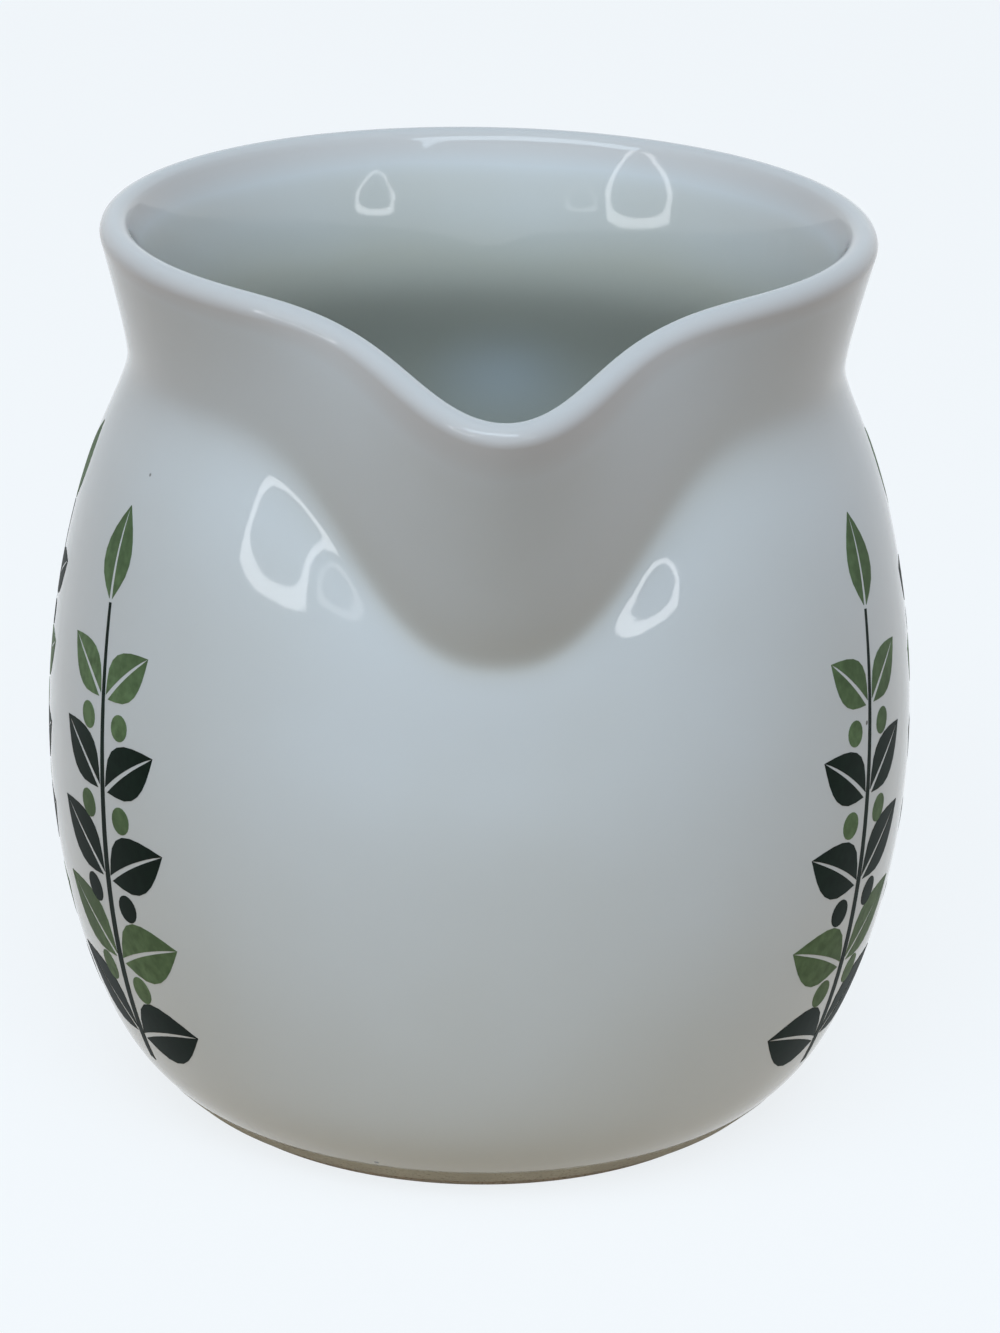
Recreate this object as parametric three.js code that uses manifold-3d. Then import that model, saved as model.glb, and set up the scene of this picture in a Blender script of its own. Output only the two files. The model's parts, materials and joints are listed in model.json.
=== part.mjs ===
// A glazed ceramic pitcher: a slip-cast body with a pinched spout, a bare foot ring, and a strap handle
// joined on behind with slip. Millimetres, +Z up. The spout points along -Y and the handle along +Y.
import * as THREE from 'three';
import { mergeVertices } from 'three/addons/utils/BufferGeometryUtils.js';
import Module from 'manifold-3d';

const wasm = await Module();
wasm.setup();

// Body: the belly's radius, and how far inside it each level of the outer profile lies
const BELLY_RADIUS = 62.5;
const BASE_INSET = 16.7;
const HEEL_INSET = 11;
const FLANK_INSET = 6;
const HAUNCH_INSET = 2.6;
const SHOULDER_INSET = 7.8;
const BROW_INSET = 10.75;
const NECK_INSET = 11.85;
const COLLAR_INSET = 11.55;
const FLARE_INSET = 9.9;
const RIM_INSET = 8.25;

// Body: how far each level rises above the one below it
const HEEL_RISE = 6;
const FLANK_RISE = 10;
const BELLY_RISE = 36;
const HAUNCH_RISE = 26;
const SHOULDER_RISE = 18;
const BROW_RISE = 7;
const NECK_RISE = 4.25;
const COLLAR_RISE = 3.25;
const FLARE_RISE = 8;
const RIM_RISE = 7;

// Walls: the shell, the floor of the bowl and the curve between them
const WALL = 4.2;
const FLOOR_THICKNESS = 4.5;
const FLOOR_FILLET = 1.5;

// Foot ring: the bare ring under the base
const FOOT_HEIGHT = 2;
const FOOT_INSET = 2.4;
const FOOT_WIDTH = 4.5;
const FOOT_ROUND = 0.6;

// Spout: the lip reaches out and dips, and the neck's hollow runs down the front as a crease.
// The half angles say how far from the spout's middle each of these has faded to one half.
const LIP_REACH = 18.05;
const LIP_DROP = 8.75;
const RIM_LEAN = 1.65;
const CREASE_DROP = 24.75;
const CREASE_PROUD = 0.6;
const LIP_HALF_ANGLE = 12;
const DROP_HALF_ANGLE = 14.9;
const CREASE_HALF_ANGLE = 19.8;
const LIP_SQUARENESS = 2;
const CREASE_SQUARENESS = 2.3;
const COLLAR_SHARE = 0.1;
const FLARE_SHARE = 0.52;

// Handle: a flattened strap in a loop, which reaches out from the belly. Its upper root is measured from
// the neck and its lower root from the belly, and the loop's bends from these two roots.
const HANDLE_WIDTH = 15;
const HANDLE_THICKNESS = 9;
const HANDLE_REACH = 33;
const UPPER_ROOT_DROP = 1.75;
const LOWER_ROOT_DROP = 8;
const ROOT_DEPTH = 8;
const LOOP_RISE = 5;
const LOOP_CORNER = 5;
const LOOP_WIDEST_DROP = 25;
const LOOP_TAIL_INSET = 9.5;
const LOOP_TAIL_RISE = 12.5;

// Joints: slip pads, wider than the strap, with a fine gap on each side
const LUTE_THICKNESS = 1.4;
const LUTE_FLARE = 2.6;
const JOINT_GAP = 0.3;
const UPPER_STUB_END = 0.3;
const LOWER_STUB_START = 0.75;

// Facets
const COLUMNS = 56;
const COLUMN_CROWDING = 0.45;
const OUTER_ROWS = 36;
const RIM_ROWS = 5;
const FOOT_COLUMNS = 48;
const ENVELOPE_COLUMNS = 96;
const STRAP_STEPS = 36;
const STRAP_CURVE = 9;
const LUTE_STEPS = 8;
const NUDGE = 1e-3;
const HALVINGS = 40;
const MERGE_WITHIN = 1e-3;

// Finishes
const GLAZE = { color: 0xc9d1d4, roughness: 0.12, metalness: 0 };
const BARE_CLAY = { color: 0x8f8b7d, roughness: 0.85, metalness: 0 };

// Second derivatives of the natural cubic spline through the points, by elimination
function splineBends(points, shares) {
  const bends = points.map(() => new THREE.Vector2());
  const rest = points.map(() => new THREE.Vector2());
  const carry = points.map(() => 0);
  for (let k = 1; k < points.length - 1; k += 1) {
    const before = shares[k] - shares[k - 1];
    const after = shares[k + 1] - shares[k];
    const pivot = 2 * (before + after) - before * carry[k - 1];
    carry[k] = after / pivot;
    rest[k]
      .addScaledVector(points[k + 1], 6 / after)
      .addScaledVector(points[k], -6 / after - 6 / before)
      .addScaledVector(points[k - 1], 6 / before)
      .addScaledVector(rest[k - 1], -before)
      .divideScalar(pivot);
  }
  for (let k = points.length - 2; k > 0; k -= 1) {
    bends[k].copy(rest[k]).addScaledVector(bends[k + 1], -carry[k]);
  }
  return bends;
}

// A curve whose bend is continuous, through (radius, height) points at given shares of its length
class Meridian extends THREE.Curve {
  constructor(points, shares) {
    super();
    this.points = points;
    this.shares = shares;
    this.bends = splineBends(points, shares);
  }

  getPoint(t, target = new THREE.Vector2()) {
    let k = 0;
    while (k < this.points.length - 2 && t > this.shares[k + 1]) {
      k += 1;
    }
    const span = this.shares[k + 1] - this.shares[k];
    const up = (t - this.shares[k]) / span;
    const down = 1 - up;
    return target.set(0, 0)
      .addScaledVector(this.points[k], down)
      .addScaledVector(this.points[k + 1], up)
      .addScaledVector(this.bends[k], (down ** 3 - down) * span ** 2 / 6)
      .addScaledVector(this.bends[k + 1], (up ** 3 - up) * span ** 2 / 6);
  }
}

// The plain profile, away from the spout, from the base up. The share says how far a level lies from the
// neck's hollow, 0, to the rim, 1.
const LEVELS = [
  { name: 'base', inset: BASE_INSET, rise: FOOT_HEIGHT, share: 0 },
  { name: 'heel', inset: HEEL_INSET, rise: HEEL_RISE, share: 0 },
  { name: 'flank', inset: FLANK_INSET, rise: FLANK_RISE, share: 0 },
  { name: 'belly', inset: 0, rise: BELLY_RISE, share: 0 },
  { name: 'haunch', inset: HAUNCH_INSET, rise: HAUNCH_RISE, share: 0 },
  { name: 'shoulder', inset: SHOULDER_INSET, rise: SHOULDER_RISE, share: 0 },
  { name: 'brow', inset: BROW_INSET, rise: BROW_RISE, share: 0 },
  { name: 'neck', inset: NECK_INSET, rise: NECK_RISE, share: 0 },
  { name: 'collar', inset: COLLAR_INSET, rise: COLLAR_RISE, share: COLLAR_SHARE },
  { name: 'flare', inset: FLARE_INSET, rise: FLARE_RISE, share: FLARE_SHARE },
  { name: 'rim', inset: RIM_INSET, rise: RIM_RISE, share: 1 },
];
const [belly, neck, rim] = ['belly', 'neck', 'rim']
  .map((wanted) => LEVELS.findIndex(({ name }) => name === wanted));

let height = 0;
const plainPoints = LEVELS.map(({ inset, rise }) => {
  height += rise;
  return new THREE.Vector2(BELLY_RADIUS - inset, height);
});
const bellyHeight = plainPoints[belly].y;
const neckHeight = plainPoints[neck].y;

const lengths = plainPoints.map((point, k) => (k ? point.distanceTo(plainPoints[k - 1]) : 0));
const wholeLength = lengths.reduce((sum, length) => sum + length);
let travelled = 0;
const shares = lengths.map((length) => {
  travelled += length;
  return travelled / wholeLength;
});
const plain = new Meridian(plainPoints, shares);

// The share of the plain meridian at a height, by halving
function shareAt(level) {
  let low = 0;
  let high = 1;
  for (let k = 0; k < HALVINGS; k += 1) {
    const middle = (low + high) / 2;
    if (plain.getPoint(middle).y < level) {
      low = middle;
    } else {
      high = middle;
    }
  }
  return low;
}

function radiusAt(level) {
  return plain.getPoint(shareAt(level)).x;
}

// The profile at the middle of the spout: the levels from belly to neck slide down the plain body until
// the neck becomes the crease, and the levels above it lie on a straight line from the crease to the lip
const creaseHeight = neckHeight - CREASE_DROP;
const crease = new THREE.Vector2(radiusAt(creaseHeight) + CREASE_PROUD, creaseHeight);
const lip = plainPoints[rim].clone().add(new THREE.Vector2(LIP_REACH, -LIP_DROP));
const slide = (creaseHeight - bellyHeight) / (neckHeight - bellyHeight);
const spoutPoints = plainPoints.map((point, k) => {
  if (k <= belly) {
    return point;
  }
  if (k < neck) {
    const level = bellyHeight + (point.y - bellyHeight) * slide;
    return new THREE.Vector2(radiusAt(level), level);
  }
  return crease.clone().lerp(lip, LEVELS[k].share);
});

// A bell round the spout's middle: 1 there, one half at the half angle
function bell(azimuth, halfAngle, squareness) {
  const turn = Math.abs(azimuth) / THREE.MathUtils.degToRad(halfAngle);
  return 2 ** -(turn ** squareness);
}

// The outer profile at an azimuth, 0 at the spout: the plain profile drawn towards the spout's
function meridianAt(azimuth) {
  const points = plainPoints.map((point, k) => {
    const { share } = LEVELS[k];
    const squareness = THREE.MathUtils.lerp(CREASE_SQUARENESS, LIP_SQUARENESS, share);
    const out = bell(azimuth, THREE.MathUtils.lerp(CREASE_HALF_ANGLE, LIP_HALF_ANGLE, share), squareness);
    const down = bell(azimuth, THREE.MathUtils.lerp(CREASE_HALF_ANGLE, DROP_HALF_ANGLE, share), squareness);
    const lean = share * RIM_LEAN * (1 + Math.cos(azimuth)) / 2;
    return new THREE.Vector2(
      THREE.MathUtils.lerp(point.x, spoutPoints[k].x, out),
      THREE.MathUtils.lerp(point.y, spoutPoints[k].y, down) - lean,
    );
  });
  return new Meridian(points, shares);
}

function around(radius, azimuth, z) {
  return new THREE.Vector3(radius * Math.sin(azimuth), -radius * Math.cos(azimuth), z);
}

// Points of the outer wall at an azimuth, each with its outward normal and its direction up the wall
function wallAt(azimuth, atShares) {
  const here = meridianAt(azimuth);
  const left = meridianAt(azimuth - NUDGE);
  const right = meridianAt(azimuth + NUDGE);
  return atShares.map((share) => {
    const onWall = (meridian, angle, t) => {
      const { x, y } = meridian.getPoint(t);
      return around(x, angle, y);
    };
    const up = onWall(here, azimuth, Math.min(share + NUDGE, 1));
    up.sub(onWall(here, azimuth, Math.max(share - NUDGE, 0))).normalize();
    const along = onWall(right, azimuth + NUDGE, share);
    along.sub(onWall(left, azimuth - NUDGE, share));
    const normal = along.cross(up).normalize();
    return { point: onWall(here, azimuth, share), normal, up };
  });
}

// A closed mesh of positions only, with shared corners merged and empty triangles left out
function closedMesh(geometry) {
  geometry.deleteAttribute('normal');
  geometry.deleteAttribute('uv');
  const merged = mergeVertices(geometry, MERGE_WITHIN);
  const corners = merged.getIndex().array;
  const kept = [];
  for (let k = 0; k < corners.length; k += 3) {
    const [a, b, c] = corners.slice(k, k + 3);
    if (a !== b && b !== c && c !== a) {
      kept.push(a, b, c);
    }
  }
  merged.setIndex(kept);
  return merged;
}

function toSolid(geometry) {
  const mesh = closedMesh(geometry);
  return new wasm.Manifold(new wasm.Mesh({
    numProp: 3,
    vertProperties: new Float32Array(mesh.getAttribute('position').array),
    triVerts: new Uint32Array(mesh.getIndex().array),
  }));
}

function toGeometry(solid) {
  const { vertProperties, triVerts } = solid.getMesh();
  const geometry = new THREE.BufferGeometry();
  geometry.setAttribute('position', new THREE.BufferAttribute(vertProperties, 3));
  geometry.setIndex(new THREE.BufferAttribute(triVerts, 1));
  return geometry;
}

// A lathe's faces turned so that its axis is Z and its seam is at the back
function latheUpright(profile, columns) {
  const geometry = new THREE.LatheGeometry(profile, columns, Math.PI);
  geometry.rotateX(Math.PI / 2);
  return geometry;
}

// Body: each column of a lathe takes the profile at its own azimuth, and columns crowd round the spout
function bodyGeometry() {
  const outer = Array.from({ length: OUTER_ROWS + 1 }, (_, k) => k / OUTER_ROWS);
  const floor = FOOT_HEIGHT + FLOOR_THICKNESS;
  const inside = ({ point, normal }) => point.clone().addScaledVector(normal, -WALL);
  const innerRows = wallAt(Math.PI, outer)
    .map((spot, row) => ({ row, height: inside(spot).z }))
    .filter((spot) => spot.height > floor + FLOOR_FILLET)
    .map((spot) => spot.row)
    .reverse();

  const columnAt = (azimuth) => {
    const wall = wallAt(azimuth, outer);
    const { point, normal, up } = wall[OUTER_ROWS];
    const roundRim = Array.from({ length: RIM_ROWS - 1 }, (_, k) => {
      const turn = Math.PI * (k + 1) / RIM_ROWS;
      return point.clone()
        .addScaledVector(normal, (Math.cos(turn) - 1) * WALL / 2)
        .addScaledVector(up, Math.sin(turn) * WALL / 2);
    });
    const inner = innerRows.map((row) => inside(wall[row]));
    const lowest = inner[inner.length - 1];
    const floorRadius = Math.hypot(lowest.x, lowest.y) - FLOOR_FILLET;
    return [
      around(0, azimuth, FOOT_HEIGHT),
      ...wall.map((spot) => spot.point),
      ...roundRim,
      ...inner,
      around(floorRadius, azimuth, floor),
      around(0, azimuth, floor),
    ];
  };

  const rowCount = columnAt(0).length;
  const blank = Array.from({ length: rowCount }, (_, k) => new THREE.Vector2(1, k));
  const geometry = new THREE.LatheGeometry(blank, COLUMNS);
  const position = geometry.getAttribute('position');
  for (let column = 0; column <= COLUMNS; column += 1) {
    const turn = Math.PI * (2 * (column % COLUMNS) / COLUMNS - 1);
    const azimuth = turn - COLUMN_CROWDING * Math.sin(turn);
    columnAt(azimuth).forEach(({ x, y, z }, row) => position.setXYZ(column * rowCount + row, x, y, z));
  }
  return closedMesh(geometry);
}

// Foot ring: its flat top meets the flat underside of the base, and its lower edges are broken
function footGeometry() {
  const outside = BELLY_RADIUS - BASE_INSET - FOOT_INSET;
  const insideEdge = outside - FOOT_WIDTH;
  const profile = [
    [insideEdge, FOOT_HEIGHT],
    [insideEdge, FOOT_ROUND],
    [insideEdge + FOOT_ROUND, 0],
    [outside - FOOT_ROUND, 0],
    [outside, FOOT_ROUND],
    [outside, FOOT_HEIGHT],
    [insideEdge, FOOT_HEIGHT],
  ].map(([radius, z]) => new THREE.Vector2(radius, z));
  return closedMesh(latheUpright(profile, FOOT_COLUMNS));
}

// The plain body as a filled solid, grown outwards, to cut the joints to its curve
function envelope(growth) {
  const wall = Array.from({ length: 2 * OUTER_ROWS + 1 }, (_, k) => k / (2 * OUTER_ROWS));
  const profile = wallAt(Math.PI, wall).map(({ point, normal }) => {
    const grown = point.clone().addScaledVector(normal, growth);
    return new THREE.Vector2(Math.hypot(grown.x, grown.y), grown.z);
  });
  profile.unshift(new THREE.Vector2(0, profile[0].y));
  profile.push(new THREE.Vector2(0, profile[profile.length - 1].y));
  return toSolid(latheUpright(profile, ENVELOPE_COLUMNS));
}

// The handle's middle line, from inside the neck's wall round the loop to inside the belly's wall
const upperRootHeight = neckHeight - UPPER_ROOT_DROP;
const lowerRootHeight = bellyHeight - LOWER_ROOT_DROP;
const upperRoot = radiusAt(upperRootHeight);
const lowerRoot = radiusAt(lowerRootHeight);
const loopReach = BELLY_RADIUS + HANDLE_REACH - HANDLE_THICKNESS / 2;
const handleLine = new THREE.CatmullRomCurve3([
  [upperRoot - ROOT_DEPTH, upperRootHeight - LOOP_RISE],
  [upperRoot, upperRootHeight],
  [(upperRoot + loopReach) / 2, upperRootHeight + LOOP_RISE],
  [loopReach - LOOP_CORNER, upperRootHeight - LOOP_CORNER],
  [loopReach, upperRootHeight - LOOP_WIDEST_DROP],
  [loopReach - LOOP_TAIL_INSET, lowerRootHeight + LOOP_TAIL_RISE],
  [lowerRoot, lowerRootHeight],
  [lowerRoot - ROOT_DEPTH, lowerRootHeight - LOOP_RISE / 2],
].map(([y, z]) => new THREE.Vector3(0, y, z)));

// A length of strap along a line, with its section grown on every side
function strap(line, steps, growth) {
  const section = new THREE.Shape();
  section.absellipse(0, 0, HANDLE_WIDTH / 2 + growth, HANDLE_THICKNESS / 2 + growth, 0, 2 * Math.PI);
  return toSolid(new THREE.ExtrudeGeometry(section, {
    steps,
    curveSegments: STRAP_CURVE,
    bevelEnabled: false,
    extrudePath: line,
  }));
}

function handleGeometry() {
  const clear = envelope(2 * JOINT_GAP + LUTE_THICKNESS);
  return toGeometry(strap(handleLine, STRAP_STEPS, 0).subtract(clear));
}

// A lute fills the space between the body's wall and the end of the strap, and spreads round it
function luteGeometry(from, to) {
  const points = Array.from({ length: LUTE_STEPS + 1 }, (_, k) => (
    handleLine.getPoint(THREE.MathUtils.lerp(from, to, k / LUTE_STEPS))
  ));
  const stub = strap(new THREE.CatmullRomCurve3(points), LUTE_STEPS, LUTE_FLARE);
  const skin = envelope(JOINT_GAP + LUTE_THICKNESS).subtract(envelope(JOINT_GAP));
  return toGeometry(stub.intersect(skin));
}

function piece(name, geometry, finish) {
  const mesh = new THREE.Mesh(geometry, new THREE.MeshStandardMaterial(finish));
  mesh.name = name;
  return mesh;
}

const pitcher = new THREE.Group();
pitcher.add(
  piece('body', bodyGeometry(), GLAZE),
  piece('foot_ring', footGeometry(), BARE_CLAY),
  piece('handle', handleGeometry(), GLAZE),
  piece('upper_lute', luteGeometry(0, UPPER_STUB_END), GLAZE),
  piece('lower_lute', luteGeometry(LOWER_STUB_START, 1), GLAZE),
);

// The origin lies on the resting surface, midway between the lip and the back of the handle
const extent = new THREE.Box3().setFromObject(pitcher);
pitcher.position.y = -(extent.min.y + extent.max.y) / 2;

export default pitcher;
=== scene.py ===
import json
import math

import bpy
import numpy as np
from bpy.props import FloatProperty, FloatVectorProperty, PointerProperty
from mathutils import Matrix, Vector

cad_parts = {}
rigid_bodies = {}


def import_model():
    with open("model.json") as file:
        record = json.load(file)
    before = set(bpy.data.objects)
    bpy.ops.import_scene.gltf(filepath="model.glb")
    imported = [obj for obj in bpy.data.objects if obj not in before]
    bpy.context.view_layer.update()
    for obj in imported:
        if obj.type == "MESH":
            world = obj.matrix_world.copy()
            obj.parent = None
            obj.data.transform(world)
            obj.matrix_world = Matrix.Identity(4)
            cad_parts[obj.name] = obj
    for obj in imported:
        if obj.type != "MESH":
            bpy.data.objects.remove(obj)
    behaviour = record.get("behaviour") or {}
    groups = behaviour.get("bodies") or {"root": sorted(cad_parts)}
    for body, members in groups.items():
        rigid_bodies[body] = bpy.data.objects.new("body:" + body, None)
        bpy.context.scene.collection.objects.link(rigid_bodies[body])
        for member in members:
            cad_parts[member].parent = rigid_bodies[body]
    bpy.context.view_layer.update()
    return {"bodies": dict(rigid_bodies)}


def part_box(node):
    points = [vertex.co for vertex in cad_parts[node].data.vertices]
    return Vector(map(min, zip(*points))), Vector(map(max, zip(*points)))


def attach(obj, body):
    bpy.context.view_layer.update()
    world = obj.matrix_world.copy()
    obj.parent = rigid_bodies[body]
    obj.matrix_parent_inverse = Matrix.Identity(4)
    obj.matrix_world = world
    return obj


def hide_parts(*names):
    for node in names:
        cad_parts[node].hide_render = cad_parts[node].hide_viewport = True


bl_info = {
    "name": "Ceramic pitcher",
    "version": (1, 0, 0),
    "blender": (4, 5, 0),
    "location": "3D View > Sidebar > Pitcher",
    "description": "Builds a glazed pitcher with a pinched spout, a strap handle and printed sprigs",
    "category": "Object",
}

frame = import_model()
(BODY,) = frame["bodies"]
MM = 0.001

# Places from the frame: the foot ring stands on the floor round the body's upright axis
FOOT_LOW, FOOT_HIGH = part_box("foot_ring")
AXIS_Y = (FOOT_LOW.y + FOOT_HIGH.y) / 2
FOOT_RADIUS = (FOOT_HIGH.x - FOOT_LOW.x) / 2
FOOT_HEIGHT = FOOT_HIGH.z

# Outer profile from the base up, in millimetres: a level's inset from the belly, its rise above the level
# below, and its share of the way from the hollow of the neck, 0, to the rim, 1
PROFILE = (
    ("base", 16.7, FOOT_HEIGHT / MM, 0.0),
    ("heel", 11.0, 6.0, 0.0),
    ("flank", 6.0, 10.0, 0.0),
    ("belly", 0.0, 36.0, 0.0),
    ("haunch", 2.6, 26.0, 0.0),
    ("shoulder", 7.8, 18.0, 0.0),
    ("brow", 10.75, 7.0, 0.0),
    ("neck", 11.85, 4.25, 0.0),
    ("collar", 11.55, 3.25, 0.1),
    ("flare", 9.9, 8.0, 0.52),
    ("rim", 8.25, 7.0, 1.0),
)
LEVEL_NAMES = [level[0] for level in PROFILE]
BELLY, NECK, RIM = (LEVEL_NAMES.index(name) for name in ("belly", "neck", "rim"))
PROFILE_SAMPLES = 2001

# Facets of the body: its columns crowd round the spout
COLUMNS = 288
COLUMN_CROWDING = 0.45
OUTER_ROWS = 120
RIM_ROWS = 14
INNER_ROWS = 100
CORNER_ROWS = 6
DISC_ROWS = 8

# Facets of the foot ring, the handle and the print
FOOT_COLUMNS = 240
FOOT_ROUND_POINTS = 6
SKIN_ROWS = 12
STRAP_COLUMNS = 56
STRAP_ROWS = 96
ROOT_ROWS = 12
STEM_POINTS = 33
LEAF_POINTS = 9
HALF_LEAF_POINTS = 3
BERRY_POINTS = 6

# A step, in shares, radians or metres, that is small enough to measure a direction
NUDGE = 1e-4
# The turn between two faces from which their edge stays sharp
SHARP = math.radians(50)
# The power that keeps an effect close to an edge
STEEP = 6


def linear(code):
    """A colour written as sRGB hex, such as "#C9D1D4", in the linear values that shaders use."""
    channels = np.array([int(code[start:start + 2], 16) for start in (1, 3, 5)]) / 255
    curved = ((channels + 0.055) / 1.055) ** 2.4
    return tuple(np.where(channels <= 0.04045, channels / 12.92, curved).tolist())


def length(name, millimetres, description):
    """A size that a user may change, with its default written in millimetres."""
    return FloatProperty(name=name, description=description, default=millimetres * MM, min=0.0,
                         unit="LENGTH", precision=5)


def angle(name, degrees, description):
    """An angle that a user may change, with its default written in degrees."""
    return FloatProperty(name=name, description=description, default=math.radians(degrees),
                         subtype="ANGLE", unit="ROTATION")


def number(name, value, description, measure="NONE"):
    """A plain number that a user may change, with a unit where one fits."""
    return FloatProperty(name=name, description=description, default=value, unit=measure)


def fraction(name, value, description):
    """A share from 0 to 1 that a user may change."""
    return FloatProperty(name=name, description=description, default=value, min=0.0, max=1.0,
                         subtype="FACTOR")


def colour(name, code, description):
    """A colour that a user may change, with its default written as sRGB hex."""
    return FloatVectorProperty(name=name, description=description, default=linear(code), size=3,
                               subtype="COLOR", min=0.0, max=1.0)


class BodySizes(bpy.types.PropertyGroup):
    """Sizes of the slip-cast body, its spout and its foot."""

    belly_radius: length("Belly radius", 62.5, "Radius of the body where it is widest")
    wall: length("Wall", 4.2, "Thickness of the wall and of the round rim")
    collar_swell: length("Collar swell", 1.1, "How much thicker the wall is inside the collar")
    swell_depth: length("Swell depth", 11.0, "Depth below the rim at which the wall is thickest")
    swell_fade: length("Swell fade", 50.0, "Distance below that over which the wall thins again")
    floor: length("Floor", 4.5, "Thickness of the floor of the bowl")
    floor_fillet: length("Floor fillet", 4.0, "Curve between the inner wall and the floor")
    base_round: length("Base round", 0.8, "Rounding of the edge between the wall and the base")
    base_dome: length("Base dome", 0.7, "How far the middle of the underside rises")
    lip_reach: length("Lip reach", 18.05, "How far the lip stands out from the rim")
    lip_drop: length("Lip drop", 8.75, "How far the lip dips below the rim")
    rim_lean: length("Rim lean", 1.65, "How much lower the rim is at the front than at the back")
    crease_drop: length("Crease drop", 24.75, "How far the crease under the spout lies below the neck")
    crease_proud: length("Crease proud", 0.6, "How far the crease stands out from the plain body")
    lip_half_angle: angle("Lip half angle", 12.0, "Where the lip's reach has faded to one half")
    drop_half_angle: angle("Drop half angle", 14.9, "Where the lip's dip has faded to one half")
    crease_half_angle: angle("Crease half angle", 19.8, "Where the crease has faded to one half")
    lip_squareness: number("Lip squareness", 2.0, "How flat the lip's bell is on top")
    crease_squareness: number("Crease squareness", 2.3, "How flat the crease's bell is on top")
    foot_width: length("Foot width", 4.5, "Width of the bare ring that the pitcher stands on")
    foot_round: length("Foot round", 0.6, "Rounding of the ring's edges")
    glaze_line: length("Glaze line", 4.8, "Height up to which the glaze is wiped off the wall")
    wiped_skin: length("Wiped skin", 0.08, "How far the wiped clay stands out of the wall's smooth line")
    wiped_lining: length("Wiped lining", 0.8, "How far the wiped clay reaches into the wall")


class HandleSizes(bpy.types.PropertyGroup):
    """Sizes of the strap handle and of the slip that blends it into the body."""

    width: length("Width", 15.0, "Width of the strap")
    thickness: length("Thickness", 9.0, "Thickness of the strap")
    reach: length("Reach", 33.0, "How far the loop stands out from the belly")
    upper_root_drop: length("Upper root drop", 1.75, "Depth of the upper root below the neck")
    lower_root_drop: length("Lower root drop", 8.0, "Depth of the lower root below the belly")
    root_depth: length("Root depth", 8.0, "How far the strap's line runs on inside the wall")
    loop_rise: length("Loop rise", 5.0, "How far the loop rises above its upper root")
    loop_corner: length("Loop corner", 5.0, "Size of the loop's upper corner")
    loop_widest_drop: length("Widest drop", 25.0, "Depth of the widest point below the upper root")
    loop_tail_inset: length("Tail inset", 9.5, "How far the loop has come in above its lower root")
    loop_tail_rise: length("Tail rise", 12.5, "Where that is, above the lower root")
    blend: length("Blend", 6.5, "Length of the strap over which it swells into the body")
    blend_pull: number("Blend pull", 1.3, "Pull along the strap and the wall, as a multiple of the blend")
    flare: length("Flare", 2.6, "How far the blend spreads on the body past the strap")
    sink: length("Sink", 2.0, "How far the blend's edge sinks into the wall")


class PrintSizes(bpy.types.PropertyGroup):
    """Sizes of the printed sprigs. Shares up a stem run from 0 at its root to 1 at its tip."""

    leaf_length: length("Leaf length", 17.5, "Length of a leaf at a stem's root")
    leaf_width: fraction("Leaf width", 0.5825, "Width of a leaf as a share of its length, before its skew")
    leaf_skew: fraction("Leaf skew", 0.5, "How much wider a leaf is near its base than near its tip")
    leaf_bow: fraction("Leaf bow", 0.12, "How far a leaf's tip bows aside, as a share of its length")
    leaf_taper: fraction("Leaf taper", 0.42, "Share by which leaves shrink up a stem")
    leaf_lean: angle("Leaf lean", 58.0, "Angle between a stem's root and a leaf")
    leaf_closing: angle("Leaf closing", 14.0, "How much less the leaves lean at a stem's tip")
    leaf_edge: length("Leaf edge", 0.02, "Least width of the print beside a leaf's rib")
    last_leaf: fraction("Last leaf", 0.75, "Length of the leaf on a stem's tip, as a share of the first")
    rib_width: length("Rib width", 0.8, "Width of the bare line along the middle of a leaf")
    stem_width: length("Stem width", 1.7, "Width of a stem at its root")
    stem_thinning: fraction("Stem thinning", 0.6, "Share by which a stem thins up to its tip")
    stem_end: fraction("Stem end", 0.97, "Share up a stem at which its last leaf starts")
    stalk_gap: length("Stalk gap", 0.5, "Bare gap between a stem and what grows on it")
    first_pair: fraction("First pair", 0.06, "Share up a stem at which its first pair of leaves grows")
    pair_span: fraction("Pair span", 0.9, "Share of a stem over which its pairs are spread")
    berry_length: length("Berry length", 4.8, "Length of a berry")
    berry_width: length("Berry width", 4.4, "Width of a berry")
    berry_taper: fraction("Berry taper", 0.25, "Share by which berries shrink up a stem")
    berry_lean: angle("Berry lean", 60.0, "Angle between a stem and a berry")
    berry_step: fraction("Berry step", 0.6, "Share of the way to the next pair at which berries grow")
    berry_gap: number("Berry gap", 2.2, "Distance of berries from a stem, as a multiple of the leaves'")
    film: length("Film", 0.05, "How far the printed film stands on the glaze")
    film_depth: length("Film depth", 0.1, "How far the film reaches into the glaze")


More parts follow.
